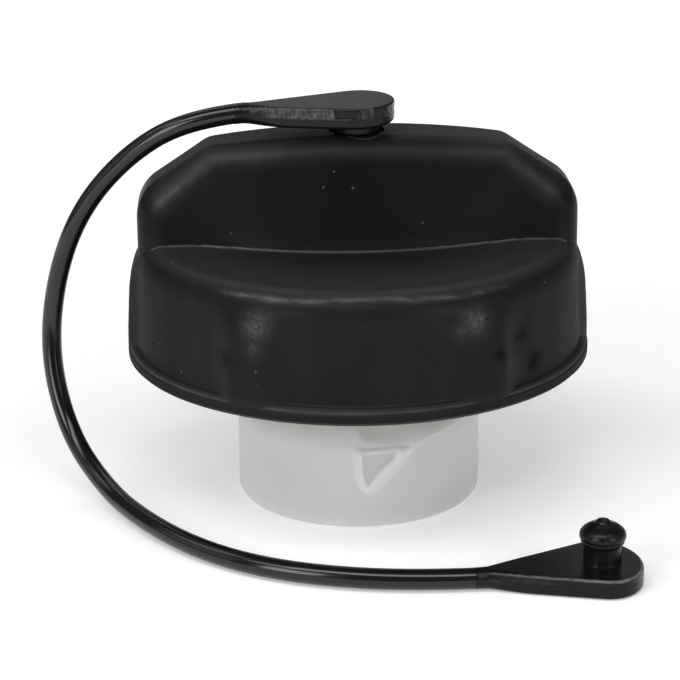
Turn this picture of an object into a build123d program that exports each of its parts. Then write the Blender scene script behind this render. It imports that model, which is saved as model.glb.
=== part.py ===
from build123d import *
import math
import os

os.makedirs("parts", exist_ok=True)

# Vented fuel filler cap with a ratcheting grip shell and a tether.
# Frame: origin on the cap's axis at the plug's bottom face, +Z up through the
# grip, X along the grip bar, -Y the side that faces the user.  Millimetres.

# ---------------------------------------------------------------- dimensions
# plug (closure body)
plug_r = 22.0            # outside radius of the plug
plug_edge = 1.3          # rounding of its bottom edge
bore_r = 19.4            # inside radius of the plug
cover_recess_z = 6.0     # the bottom cover sits below this height
ledge_z = (8.2, 9.4)     # inside ledge that the valve housing rests on
ledge_r = 17.2
housing_r = (19.32, 17.9)    # valve housing, outside and inside
housing_z = (9.4, 35.8)
shelf_z = (12.0, 14.0)   # web of the housing that carries the valve seat
shelf_hole_r = 11.0
seat_r = (12.0, 13.2)    # raised seat bead on the web
seat_top_z = 14.8
flange_z = (37.0, 39.4)  # flange over the neck gasket
flange_r = 30.8
ratchet_top_z = 45.3
ratchet_root_r = 28.8    # root and tip radii of the internal ratchet teeth
ratchet_tip_r = 27.6
ratchet_teeth = 36       # one tooth every 10 degrees

# cam lugs on the plug: a ridge with a lead-in tooth at its left end
lug_count = 2
lug_ridge_r = 23.2
lug_tooth_r = 23.2
lug_ridge_z = (14.6, 17.7)
lug_span = (-6.5, 58.0)  # degrees from the lug's own datum

# neck gasket
gasket_z = (34.4, 37.0)
gasket_r = (22.05, 27.6)

# grip shell
rim_z = 26.6
lip_r = 41.5             # lip band round the rim
lip_top_z = 29.2
face_r = (40.05, 39.60)  # six slightly recessed faces, at the lip and below the rounded top edge
# how far the six ridges between the faces stand out, by height
ridge_rise = [(26.0, 1.45), (32.0, 1.48), (35.7, 1.37), (39.5, 1.23), (41.4, 1.03), (42.4, 0.84),
              (43.4, 0.60), (44.4, 0.36), (45.4, 0.16), (46.3, 0.04), (47.0, 0.0)]
ridge_half = (4.5, 10.0)     # half width in degrees of a ridge's crown and of its foot
deck_z = 48.35
deck_round = 4.6
shell_bore_r = 36.9
ceiling_z = 45.95
sleeve_r = (31.2, 33.0)  # inner sleeve that holds the closure
sleeve_z = 35.4
tab_r = 30.1             # snap tabs under the closure's flange
tab_top_z = 36.7

# grip bar
bar_end_x = 39.1
bar_knee_x = 26.6        # where the straight ends of the base meet its bulge
bar_end_hy = (7.78, 6.95)    # half thickness at the ends, base and top
bar_mid_hy = (14.8, 7.02)    # half thickness at the middle, base and top
bar_base_z = 44.0
bar_top_z = 68.0
bar_shoulder = (26.2, 65.5)  # where the top meets the sloping shoulders
bar_corner_z = 57.0          # where the shoulders meet the upright ends
bar_crown_z = 67.1
bar_edge_r = 4.6
bar_wall = 2.4

# tether
strap_d = 3.6
stud_r = 3.2
seat_z = 66.35           # spot face on the bar's top for the swivel collar
stud_bore_r = 3.28       # running clearance for the swivel
head_r = 3.8
strap_route = [
    (-20.5, 0.0, 70.2), (-30.15, 0.6, 68.95), (-40.85, 3.3, 62.05),
    (-49.75, 6.5, 51.2), (-54.9, 8.8, 37.8), (-56.5, 7.1, 23.6),
    (-53.1, 1.6, 10.2), (-45.8, -9.4, 3.3), (-38.5, -22.0, 2.4),
    (-29.3, -33.2, 1.85), (-17.9, -42.0, 1.85), (-4.0, -46.9, 1.85),
    (9.7, -48.5, 1.85), (17.5, -48.2, 1.85),
]
door_stud = (38.7, -45.6)    # foot of the door-end stud
paddle_t = 3.3


def ring(ro, ri, z0, z1):
    s = Cylinder(ro, z1 - z0, align=(Align.CENTER, Align.CENTER, Align.MIN))
    s -= Cylinder(ri, z1 - z0 + 2, align=(Align.CENTER, Align.CENTER, Align.MIN)).moved(Location((0, 0, -1)))
    return s.moved(Location((0, 0, z0)))


def disc(r, z0, z1, x=0.0, y=0.0):
    return Cylinder(r, z1 - z0, align=(Align.CENTER, Align.CENTER, Align.MIN)).moved(Location((x, y, z0)))


def turned(points):
    """Solid of revolution about Z from (r, z) points."""
    w = Polyline(*[(r, 0, z) for r, z in points], close=True)
    return revolve(make_face(w), Axis.Z, 360)


def polar(r, deg):
    return (r * math.cos(math.radians(deg)), r * math.sin(math.radians(deg)))


def sector(r, a0, a1, z0, z1):
    """Wedge out to a polygon well past radius r, between two angles."""
    pts = [(0, 0)] + [polar(r * 1.5, a0 + (a1 - a0) * i / 6) for i in range(7)]
    f = make_face(Polyline(*pts, close=True))
    return extrude(f.moved(Location((0, 0, z0))), z1 - z0)


def save(shape, node):
    solids = shape.solids()
    shape = solids[0] if len(solids) == 1 else Compound(children=list(solids))
    export_step(shape, f"parts/{node}.step")
    print(node, len(solids), round(sum(s.volume for s in solids), 1))
    return shape


# ---------------------------------------------------------------- grip shell
def lookup(table, z):
    for (z0, v0), (z1, v1) in zip(table, table[1:]):
        if z <= z1:
            return v0 + (v1 - v0) * max(0.0, z - z0) / (z1 - z0)
    return table[-1][1]


def ridge_shape(deg):
    """1 on a ridge's crown, 0 on a face, smooth between."""
    d = abs((deg + 30) % 60 - 30)
    t = min(1.0, max(0.0, (ridge_half[1] - d) / (ridge_half[1] - ridge_half[0])))
    return t * t * (3 - 2 * t)


round_z = deck_z - deck_round
round_c = face_r[1] - deck_round                   # radius at which the top edge's rounding is centred


def wall_r(z):
    if z <= round_z:
        return face_r[0] + (face_r[1] - face_r[0]) * (z - rim_z) / (round_z - rim_z)
    return round_c + math.sqrt(max(0.0, deck_round ** 2 - (z - round_z) ** 2))


def skirt_section(z):
    """Outline at one height: six smooth arcs, each across one ridge."""
    edges = []
    for k in range(6):
        pts = []
        for i in range(17):
            a = 60.0 * k - 30 + 60.0 * i / 16
            x, y = polar(wall_r(z) + lookup(ridge_rise, z) * ridge_shape(a), a)
            pts.append((x, y, z))
        a0, a1 = math.radians(60 * k - 30), math.radians(60 * k + 30)
        edges.append(Spline(*pts, tangents=[(-math.sin(a0), math.cos(a0), 0), (-math.sin(a1), math.cos(a1), 0)]))
    return make_face(Wire(edges))


def bar_outline(z, hy_end, hy_mid, ex, kx):
    """Plan of the grip bar: straight at the ends, bulging in the middle."""
    sag = hy_mid - hy_end
    rad = (kx * kx + sag * sag) / (2 * sag)

    def hy(x):
        return hy_mid - rad + math.sqrt(rad * rad - x * x) if abs(x) < kx - 1.5 else hy_end
    xs = [ex, 33.0, 29.0, 22.5, 16.0, 8.0, 0.0]
    xs = xs + [-x for x in reversed(xs[:-1])]
    front = Spline(*[(-x, -hy(x)) for x in xs], tangents=[(1, 0), (1, 0)])
    back = Spline(*[(x, hy(x)) for x in xs], tangents=[(-1, 0), (-1, 0)])
    wire = Wire([front, Line(front @ 1, back @ 0), back, Line(back @ 1, front @ 0)])
    return make_face(wire).moved(Location((0, 0, z)))


def bar_profile(ex, corner_z, sx, sz, crown_z, base_z, hy, knee_r, top_r):
    w = Wire([
        Line((-ex, base_z), (-ex, corner_z)),
        Line((-ex, corner_z), (-sx, sz)),
        ThreePointArc((-sx, sz), (0, crown_z), (sx, sz)),
        Line((sx, sz), (ex, corner_z)),
        Line((ex, corner_z), (ex, base_z)),
        Line((ex, base_z), (-ex, base_z)),
    ])
    f = make_face(w)
    top = [v for v in f.vertices() if abs(v.Y - sz) < 0.01]
    f = fillet(top, top_r)
    f = f.face() if not isinstance(f, Face) else f
    mid = [v for v in f.vertices() if abs(v.Y - corner_z) < 0.01]
    f = fillet(mid, knee_r)
    f = f.face() if not isinstance(f, Face) else f
    f = Plane.XZ * f
    return extrude(f, hy, both=True)


# sections at even steps along the wall's profile: up the wall, then round the top edge
skirt_z0 = lip_top_z - 1.3
run_up, run_round = round_z - skirt_z0, deck_round * math.pi / 2
steps = 20
levels = []
for i in range(steps + 1):
    d = (run_up + run_round) * i / steps
    levels.append(skirt_z0 + d if d < run_up else round_z + deck_round * math.sin((d - run_up) / deck_round))
levels[-1] = deck_z
skirt = loft([skirt_section(z) for z in levels], ruled=False)
print("skirt", len(skirt.faces()), skirt.is_valid, round(skirt.volume))
lip = turned([(34, rim_z), (lip_r - 0.6, rim_z), (lip_r, rim_z + 0.6), (lip_r, lip_top_z - 0.75),
              (lip_r - 0.2, lip_top_z - 0.5), (face_r[0] + 0.05, lip_top_z + 0.6), (face_r[0] - 0.35, lip_top_z + 0.7), (34, lip_top_z + 0.7)])
skirt += lip

bar = loft([bar_outline(bar_base_z, bar_end_hy[0], bar_mid_hy[0], bar_end_x, bar_knee_x),
            bar_outline(bar_top_z, bar_end_hy[1], bar_mid_hy[1], bar_end_x, bar_knee_x)], ruled=True)
bar &= bar_profile(bar_end_x, bar_corner_z, bar_shoulder[0], bar_shoulder[1], bar_crown_z, bar_base_z - 1, 20, 8.0, 5.0)
bar = bar.solid() if not isinstance(bar, Solid) else bar


def rim_edges(s):
    """The chains round the front and back faces, up the ends and over the top."""
    out = []
    for e in s.edges():
        b = e.bounding_box()
        if b.max.Z < bar_base_z + 0.01:
            continue                      # base outline
        if b.min.Y < 0 < b.max.Y:
            continue                      # lines across the top and ends
        out.append(e)
    return out


bar = fillet(rim_edges(bar), bar_edge_r)

shell = skirt + bar

# inside of the shell
inner = Cylinder(shell_bore_r, ceiling_z - rim_z + 1, align=(Align.CENTER, Align.CENTER, Align.MIN))
inner = inner.moved(Location((0, 0, rim_z - 1)))
inner = fillet([e for e in inner.edges() if abs(e.center().Z - ceiling_z) < 0.01], 1.8)
w = bar_wall
we = bar_wall + 0.35     # a little thicker at the ends, so the hollow's corners stay clear of the bore's wall
bar_in = loft([bar_outline(bar_base_z, bar_end_hy[0] - w, bar_mid_hy[0] - w - 0.5, bar_end_x - we, bar_knee_x - 1),
               bar_outline(bar_top_z, bar_end_hy[1] - w, bar_mid_hy[1] - w, bar_end_x - we, bar_knee_x - 1)], ruled=True)
bar_in &= bar_profile(bar_end_x - we, bar_corner_z - 1.6, bar_shoulder[0] - 0.6, bar_shoulder[1] - 2.7,
                      bar_crown_z - 2.6, bar_base_z - 1, 20, 6.0, 3.0)
bar_in = bar_in.solid() if not isinstance(bar_in, Solid) else bar_in
try:
    bar_in = fillet([e for e in bar_in.edges() if e.center().Z > bar_corner_z - 1 and abs(e.center().Y) > 3.5], 1.6)
    print("bar cavity rounded")
except Exception as err:
    print("cavity fillet skipped:", err)
shell -= inner
shell -= bar_in

# sleeve, snap tabs, stiffening ribs and the posts that drive the hub
sleeve = ring(sleeve_r[1], sleeve_r[0], sleeve_z, ceiling_z + 0.6)
for k in range(6):
    tab = ring(sleeve_r[0] + 0.6, tab_r, sleeve_z, tab_top_z)
    sleeve += tab & sector(34, 60 * k + 18, 60 * k + 42, sleeve_z - 1, tab_top_z + 1)
ribs = None
for k in range(6):
    r = Box(5.2, 1.6, ceiling_z + 0.4 - sleeve_z, align=(Align.CENTER, Align.CENTER, Align.MIN))
    r = r.moved(Location((sleeve_r[1] + 2.2, 0, sleeve_z))).rotate(Axis.Z, 60 * k)
    ribs = r if ribs is None else ribs + r
post_r, post_pcr = 1.6, 21.0
posts = None
for a in (60, 90, 120, 240, 270, 300):
    x, y = polar(post_pcr, a)
    p = disc(post_r, 43.0, ceiling_z + 0.5, x, y)
    posts = p if posts is None else posts + p
keep = bar_in                                      # nothing crosses the bar's hollow
extras = (sleeve + ribs) - keep + posts
shell += extras
shell -= disc(4.95, seat_z, 70)
shell -= Cylinder(stud_bore_r, 12, align=(Align.CENTER, Align.CENTER, Align.CENTER)).moved(Location((0, 0, 67)))
outer_shell = save(shell, "outer_shell")

# ---------------------------------------------------------------- ratchet hub
hub_z0, hub_z1 = 40.0, 45.6
hub = ring(24.4, 22.6, hub_z0, hub_z1) + ring(24.4, 13.0, 43.4, hub_z1)
for a in (60, 90, 120, 240, 270, 300):
    x, y = polar(post_pcr, a)
    hub -= disc(post_r + 0.05, 42, 47, x, y)
for k in range(6):
    a0 = 60 * k
    arm = ring(26.6, 25.5, hub_z0, 44.4) & sector(28, a0 + 2.0, a0 + 42.0, hub_z0 - 1, 46)
    root = ring(26.6, 24.0, hub_z0, 44.4) & sector(28, a0 + 36.0, a0 + 42.0, hub_z0 - 1, 46)
    # pawl tip sits in a tooth space, beside the tooth's steep face
    tip = [polar(26.2, a0 + 0.9), polar(28.35, a0 + 0.9), polar(28.25, a0 + 2.2), polar(27.55, a0 + 4.2), polar(26.2, a0 + 5.5)]
    tip = extrude(make_face(Polyline(*tip, close=True)).moved(Location((0, 0, hub_z0))), 44.4 - hub_z0)
    hub += arm + root + tip
ratchet_hub = save(hub, "ratchet_hub")

# ---------------------------------------------------------------- closure body
body = turned([(bore_r, 0), (plug_r, 0), (plug_r, flange_z[0]), (flange_r, flange_z[0]),
               (flange_r, ratchet_top_z), (ratchet_root_r, ratchet_top_z), (ratchet_root_r, flange_z[1]),
               (bore_r, flange_z[1]), (bore_r, ledge_z[1]), (ledge_r, ledge_z[1]), (ledge_r, ledge_z[0]),
               (bore_r, ledge_z[0] - 1.6)])
body = fillet([e for e in body.edges() if abs(e.center().Z) < 0.01 and e.length > 2 * math.pi * (plug_r - 1)], plug_edge)
# ratchet teeth: steep face at each 10 degree mark, ramp towards the next
pts = []
for k in range(ratchet_teeth):
    a = 360.0 / ratchet_teeth * k
    pts.append(polar(ratchet_tip_r, a))
    pts.append(polar(ratchet_root_r + 0.25, a + 0.25))
    pts.append(polar(ratchet_root_r + 0.1, a + 2.6))
teeth = extrude(make_face(Polyline(*pts, close=True)).moved(Location((0, 0, flange_z[1] - 0.2))), ratchet_top_z - 0.6 - flange_z[1] + 0.2)
tooth_ring = ring(ratchet_root_r + 0.6, 20.0, flange_z[1] - 0.2, ratchet_top_z - 0.6) - teeth
body += tooth_ring


def lug(datum):
    """Cam lug: a ridge with a chamfered underside and a pointed lead-in tooth."""
    z0, z1 = lug_ridge_z
    ridge = turned([(plug_r - 1, z0), (plug_r, z0), (lug_ridge_r, z0 + 1.0), (lug_ridge_r, z1 - 0.5), (plug_r, z1), (plug_r - 1, z1)])
    a0, a1 = lug_span
    ridge &= sector(26, datum + a0, datum + a1, z0 - 2, z1 + 1)
    # tooth, drawn flat in the plane that faces the datum + 8 degrees
    t = [(-5.65, 16.6), (-5.65, 11.0), (-4.8, 8.0), (-3.6, 6.5), (-2.4, 6.0), (-1.3, 6.15), (0.2, 6.9), (6.8, 14.0), (9.0, 16.6)]
    pl = Plane(origin=Vector(*polar(20.0, datum + 8.0), 0), x_dir=Vector(-math.sin(math.radians(datum + 8.0)), math.cos(math.radians(datum + 8.0)), 0),
               z_dir=Vector(*polar(1.0, datum + 8.0), 0))
    outer = make_face(Polyline(*t, close=True))
    inner_pts = [(-3.75, 16.5), (-3.7, 11.6), (-3.3, 9.6), (-3.0, 8.9), (-2.7, 8.5), (-2.4, 8.6), (-1.9, 9.2), (3.2, 14.9), (4.6, 16.5)]
    inner_f = make_face(Polyline(*inner_pts, close=True))
    tooth = loft([pl.offset(1.3) * outer, pl.offset(3.25) * inner_f], ruled=True)
    tooth &= disc(lug_tooth_r, 0, 30)
    return ridge + tooth


for k in range(lug_count):
    body += lug(-90 + 180 * k)
closure_body = save(body, "closure_body")

# ---------------------------------------------------------------- neck gasket
g = ring(gasket_r[1], gasket_r[0], *gasket_z)
g = fillet([e for e in g.edges() if abs(e.center().Z - gasket_z[0]) < 0.01], 0.8)
neck_gasket = save(g, "neck_gasket")

# ---------------------------------------------------------------- bottom cover
cover = disc(bore_r - 0.02, 0.9, 2.7) + ring(bore_r - 0.02, bore_r - 1.5, 2.7, cover_recess_z)
for k in range(6):
    slot = ring(16.2, 9.0, 0, 4) & sector(18, 60 * k + 8, 60 * k + 52, 0, 4)
    cover -= slot
cover += ring(6.0, 4.6, 2.7, 4.6)
bottom_cover = save(cover, "bottom_cover")

# ---------------------------------------------------------------- valve housing
ho, hi_r = housing_r
housing = turned([(ho, housing_z[0]), (ho, 22.0), (ho - 0.9, 22.0), (ho - 0.9, 24.0), (ho, 24.0), (ho, housing_z[1]),
                  (hi_r, housing_z[1]), (hi_r, shelf_z[1]), (seat_r[1], shelf_z[1]), (seat_r[1], seat_top_z),
                  (seat_r[0], seat_top_z), (seat_r[0], shelf_z[1]), (shelf_hole_r, shelf_z[1]), (shelf_hole_r, shelf_z[0]),
                  (hi_r, shelf_z[0]), (hi_r, housing_z[0])])
valve_housing = save(housing, "valve_housing")
o_ring = Torus(18.93, 0.46).moved(Location((0, 0, 23.0)))
housing_o_ring = save(o_ring, "housing_o_ring")

# ---------------------------------------------------------------- pressure valve
plate = turned([(2.35, 16.0), (16.5, 16.0), (16.5, 19.4), (15.4, 19.4), (15.4, 17.6), (3.8, 17.6), (3.8, 21.5), (2.35, 21.5)])
for k in range(6):
    x, y = polar(6.0, 60 * k)
    plate -= disc(1.2, 15, 18.5, x, y)
for k in range(3):
    ear = Box(1.6, 2.4, 2.2, align=(Align.CENTER, Align.CENTER, Align.MIN)).moved(Location((16.8, 0, 17.0))).rotate(Axis.Z, 120 * k)
    plate += ear
pressure_plate = save(plate, "pressure_plate")
valve_gasket = save(ring(15.5, 7.8, seat_top_z + 0.05, 16.0), "valve_gasket")


def spring(r, wire, z0, z1, turns):
    h = z1 - z0 - wire * 0.5
    path = Helix(pitch=h / turns, height=h, radius=r)
    sec = Plane(origin=path @ 0, z_dir=path % 0) * Circle(wire / 2)
    s = sweep(sec, path=path).moved(Location((0, 0, z0 + wire * 0.25)))
    s &= ring(r + wire, r - wire, z0, z1)
    return s


pressure_spring = save(spring(13.6, 1.3, 17.6, 33.0, 4.5), "pressure_spring")
retainer = ring(hi_r - 0.02, 15.2, 33.0, 36.4) + ring(15.4, 9.0, 33.0, 34.6)
for k in range(4):
    x, y = polar(12.2, 90 * k + 45)
    retainer -= disc(1.6, 32, 36, x, y)
retainer = fillet([e for e in retainer.edges() if abs(e.center().Z - 36.4) < 0.01 and e.length > 2 * math.pi * 17], 0.6)
spring_retainer = save(retainer, "spring_retainer")

# ---------------------------------------------------------------- vacuum valve
pop = turned([(0, 12.9), (10.0, 12.9), (10.0, 14.3), (9.4, 14.3), (9.4, seat_top_z), (8.6, seat_top_z), (8.6, 14.3),
              (2.27, 14.3), (2.27, 27.0), (1.9, 27.4), (0, 27.4)])
vacuum_poppet = save(pop, "vacuum_poppet")
vacuum_spring = save(spring(4.75, 0.5, 17.6, 25.2, 5.0), "vacuum_spring")
cap = turned([(2.28, 25.2), (5.7, 25.2), (5.7, 26.0), (3.4, 26.0), (3.4, 26.8), (2.28, 26.8)])
vacuum_spring_cap = save(cap, "vacuum_spring_cap")

# ---------------------------------------------------------------- tether
pts = [Vector(*p) for p in strap_route]
radii, turns, runs = [], [], []
for i in range(len(pts) - 1):
    runs.append((pts[i + 1] - pts[i]).length)
for i in range(1, len(pts) - 1):
    a = (pts[i] - pts[i - 1]).get_angle(pts[i + 1] - pts[i])
    turns.append(a)
    radii.append(0.45 * min(runs[i - 1], runs[i]) / math.tan(math.radians(a) / 2))
print("runs", [round(v, 1) for v in runs])
print("turns", [round(v, 1) for v in turns])
print("radii", [round(v, 1) for v in radii])
path = FilletPolyline(*pts, radius=radii)
strap = sweep(Plane(origin=pts[0], z_dir=(pts[1] - pts[0]).normalized()) * Circle(strap_d / 2), path=path)
print("strap length", round(path.length, 2), "volume", round(strap.volume, 1),
      "section x length", round(math.pi * strap_d ** 2 / 4 * path.length, 1))
tether_strap = save(strap, "tether_strap")


def drop(u_tail, hw_tail, u_head, hw_head, inset=0.0):
    """Drop outline: straight flanks tangent to a half-oval head."""
    hw_tail, u_head, hw_head = hw_tail - inset, u_head - inset, hw_head - inset
    lo, hi = 0.0, 1.2                                   # where the flank touches the oval
    for _ in range(60):
        tt = (lo + hi) / 2
        flank = (hw_head * math.cos(tt) - hw_tail) / (-u_head * math.sin(tt) - u_tail)
        if hw_head * math.sin(tt) / (u_head * math.cos(tt)) < flank:
            lo = tt
        else:
            hi = tt
    n = 14
    head = [(u_head * math.sin(b), hw_head * math.cos(b))
            for b in [-tt + (math.pi + 2 * tt) * i / n for i in range(n + 1)]]
    crv = Spline(*head, tangents=[(1, flank), (-1, flank)])
    return make_face(Wire([Line((u_tail, -hw_tail), (u_tail, hw_tail)), Line((u_tail, hw_tail), head[0]), crv,
                           Line(head[-1], (u_tail, -hw_tail))]))


def paddle(u_tail, hw_tail, u_head, hw_head, t):
    """Flat drop-shaped end with broken edges."""
    e = 0.45
    full = drop(u_tail, hw_tail, u_head, hw_head)
    small = drop(u_tail, hw_tail, u_head, hw_head, e)
    s = extrude(full.moved(Location((0, 0, e))), t - 2 * e)
    s += loft([small, full.moved(Location((0, 0, e)))], ruled=True)
    s += loft([full.moved(Location((0, 0, t - e))), small.moved(Location((0, 0, t)))], ruled=True)
    return s


def neck(p, q, length):
    """Short round root that meets the strap face to face at p."""
    d = (Vector(*p) - Vector(*q)).normalized()
    return extrude(Plane(origin=Vector(*p), z_dir=d) * Circle(strap_d / 2 + 0.05), length)


# cap end: paddle above the bar, collar on the bar, stud through its top wall
cap_z0 = 68.68
pad = paddle(-18.9, 1.85, 6.7, 7.6, 3.75).rotate(Axis.Y, -1.6).moved(Location((0, 0, cap_z0)))
pad += neck(strap_route[0], strap_route[1], 4.5)
pad += turned([(0, seat_z + 0.25), (4.1, seat_z + 0.25), (4.4, seat_z + 0.5), (4.4, cap_z0 + 0.5), (0, cap_z0 + 0.5)])
pad += turned([(0, 60.9), (1.2, 60.9), (head_r, 63.0), (head_r, 63.7), (3.5, 64.2), (stud_r, 64.3), (stud_r, 68.0), (0, 68.0)])
tether_cap_end = save(pad, "tether_cap_end")

# door end: the same form laid on the ground with its snap stud standing up
ang = math.degrees(math.atan2(door_stud[1] - strap_route[-1][1], door_stud[0] - strap_route[-1][0]))
d_len = math.hypot(door_stud[0] - strap_route[-1][0], door_stud[1] - strap_route[-1][1])
dpad = paddle(-d_len + 1.6, 1.8, 6.8, 8.8, paddle_t)
stud = turned([(0, 3.0), (3.2, 3.0), (3.2, 6.3), (3.6, 6.7), (3.65, 7.2), (3.55, 7.4), (3.92, 7.6), (3.92, 8.1),
               (2.8, 9.2), (1.4, 9.95), (1.1, 10.6), (0.7, 10.95), (0, 10.95)])
dpad += stud
dpad = dpad.rotate(Axis.Z, ang).moved(Location((door_stud[0], door_stud[1], 0)))
dpad += neck(strap_route[-1], strap_route[-2], 3.5)
tether_door_end = save(dpad, "tether_door_end")
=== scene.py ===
import math

import bmesh
import bpy
from mathutils import Matrix, Vector, noise


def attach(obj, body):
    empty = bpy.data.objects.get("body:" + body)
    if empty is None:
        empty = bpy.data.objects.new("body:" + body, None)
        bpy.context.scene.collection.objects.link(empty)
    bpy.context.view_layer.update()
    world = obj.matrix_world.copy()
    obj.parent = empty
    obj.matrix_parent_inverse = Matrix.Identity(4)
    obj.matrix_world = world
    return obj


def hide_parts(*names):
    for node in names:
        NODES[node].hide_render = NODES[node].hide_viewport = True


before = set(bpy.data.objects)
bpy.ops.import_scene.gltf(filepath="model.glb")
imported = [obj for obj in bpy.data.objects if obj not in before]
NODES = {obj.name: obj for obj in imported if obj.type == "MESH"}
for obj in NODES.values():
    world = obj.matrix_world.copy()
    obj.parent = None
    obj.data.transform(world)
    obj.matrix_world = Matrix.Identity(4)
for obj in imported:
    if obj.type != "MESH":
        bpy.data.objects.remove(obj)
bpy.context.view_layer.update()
scene = bpy.context.scene


# ------------------------------------------------------------------ camera
CAM_RIGHT = (0.9990368, -0.0430458, -0.0085201)
CAM_UP = (0.0219266, 0.3215161, 0.9466502)


def make_camera():
    loc = Vector((-0.020045, -0.417920, 0.170182))
    right = Vector(CAM_RIGHT)
    up = Vector(CAM_UP)
    back = right.cross(up)
    m = Matrix((right, up, back)).transposed().to_4x4()
    m.translation = loc
    data = bpy.data.cameras.new("camera")
    data.sensor_fit = "HORIZONTAL"
    data.sensor_width = 36.0
    data.lens = 128.83
    data.clip_start = 0.02
    data.clip_end = 20.0
    cam = bpy.data.objects.new("camera", data)
    cam.matrix_world = m
    scene.collection.objects.link(cam)
    scene.camera = cam
    return cam


camera = make_camera()

# ------------------------------------------------------------------ strap
STRAP_D = 0.0036
ROUTE = [
    (-0.0205, 0.0, 0.0704), (-0.03015, 0.0006, 0.06917), (-0.0409, 0.0033, 0.06222), (-0.04985, 0.0065, 0.0513),
    (-0.0549, 0.0088, 0.0378), (-0.0565, 0.0071, 0.0236), (-0.0531, 0.0016, 0.0102), (-0.0458, -0.0094, 0.0033),
    (-0.0385, -0.0220, 0.0024), (-0.0293, -0.0332, 0.00185), (-0.0179, -0.0420, 0.00185), (-0.0040, -0.0469, 0.00185),
    (0.0097, -0.0485, 0.00185), (0.0175, -0.0482, 0.00185),
]


def make_strap():
    cu = bpy.data.curves.new("tether_strap_cord", "CURVE")
    cu.dimensions = "3D"
    sp = cu.splines.new("NURBS")
    sp.points.add(len(ROUTE) - 1)
    for p, q in zip(sp.points, ROUTE):
        p.co = (*q, 1.0)
    sp.order_u = 3
    sp.use_endpoint_u = True
    sp.resolution_u = 24
    cu.bevel_depth = STRAP_D / 2
    cu.bevel_resolution = 8
    cu.use_fill_caps = True
    ob = bpy.data.objects.new("tether_strap_cord", cu)
    scene.collection.objects.link(ob)
    return ob


strap = make_strap()

# ------------------------------------------------------------------ plug
LUG_OUTER = [(-2.61, 17.6), (-2.61, 15.2), (-2.53, 11.15), (-1.65, 7.9), (-0.46, 6.5), (0.58, 6.0), (1.65, 6.1),
             (3.26, 6.9), (6.6, 10.2), (9.94, 14.1), (11.5, 15.1), (12.3, 17.0), (3.0, 17.2)]
LUG_POCKET = [(-0.42, 14.45), (-0.35, 11.65), (0.0, 9.6), (0.5, 8.5), (1.0, 8.9), (3.03, 11.5), (5.07, 13.5), (5.45, 14.75)]
LUG_LOW = [(-30.0, 14.4), (8.0, 14.4), (25.9, 14.3), (29.9, 15.1), (45.0, 15.8), (66.0, 16.6), (90.0, 17.4)]
LUG_TOP = [(-30.0, 17.7), (-6.8, 17.6), (-3.0, 17.2), (3.0, 16.5), (14.0, 16.1), (30.0, 17.1), (45.0, 18.3), (58.0, 19.2), (90.0, 19.6)]
LUG_H = 1.18
MM_DEG = 22.0 * math.pi / 180


def table(rows, x):
    for (x0, y0), (x1, y1) in zip(rows, rows[1:]):
        if x <= x1:
            return y0 + (y1 - y0) * max(0.0, x - x0) / (x1 - x0)
    return rows[-1][1]


def smooth(t):
    t = min(1.0, max(0.0, t))
    return t * t * (3 - 2 * t)


def poly_distance(px, py, poly):
    """Signed distance to a polygon in mm, positive inside."""
    best, inside = 1e9, False
    n = len(poly)
    for i in range(n):
        x0, y0 = poly[i]
        x1, y1 = poly[(i + 1) % n]
        dx, dy = x1 - x0, y1 - y0
        t = min(1.0, max(0.0, ((px - x0) * dx + (py - y0) * dy) / (dx * dx + dy * dy)))
        best = min(best, math.hypot(px - x0 - t * dx, py - y0 - t * dy))
        if (y0 > py) != (y1 > py) and px < x0 + dx * (py - y0) / dy:
            inside = not inside
    return best if inside else -best


def lug_height(deg, z):
    """How far the cam lug stands out of the plug's wall, mm, and the light painted on it: painted highlight on its ribs
    and along its band's lower edge, painted shade in its sunk pocket. deg runs from its datum.
    """
    if z < 5.5 or z > 22.5 or deg < -9 or deg > 72:
        return 0.0, 0.0
    x = deg * MM_DEG
    h = lug_light = 0.0
    if x < 13.5:
        outer = poly_distance(x, z, LUG_OUTER)
        if outer > 0:
            pocket = poly_distance(x, z, LUG_POCKET)
            across = outer / (outer + max(0.0, -pocket) + 1e-6)
            sunk = smooth((pocket + 0.26) / 0.56)
            high = smooth((17.2 - z) / 3.0)
            h = (LUG_H * smooth(across / 0.80) - 0.45 * sunk) * high
            # painted highlight on the V's ribs, painted shade in the sunk pocket
            lug_light = (smooth(across / 0.36) * (1 - sunk) - 0.50 * sunk) * smooth((15.9 - z) / 2.2)
    low, top = table(LUG_LOW, deg), table(LUG_TOP, deg)
    if deg > -6.8 and low < z < top + 2.6:
        fade = smooth((68.0 - deg) / 12.0) * smooth((deg + 6.8) / 7.0)
        edge = smooth((z - low) / 1.3) * smooth((top + 2.6 - z) / 3.4)
        h = max(h, 0.64 * edge * fade)
        # painted highlight along the lower edge of the band
        lug_light = max(lug_light, 0.22 * fade * math.exp(-((z - low - 0.75) / 0.40) ** 2))
    return h, lug_light


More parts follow.
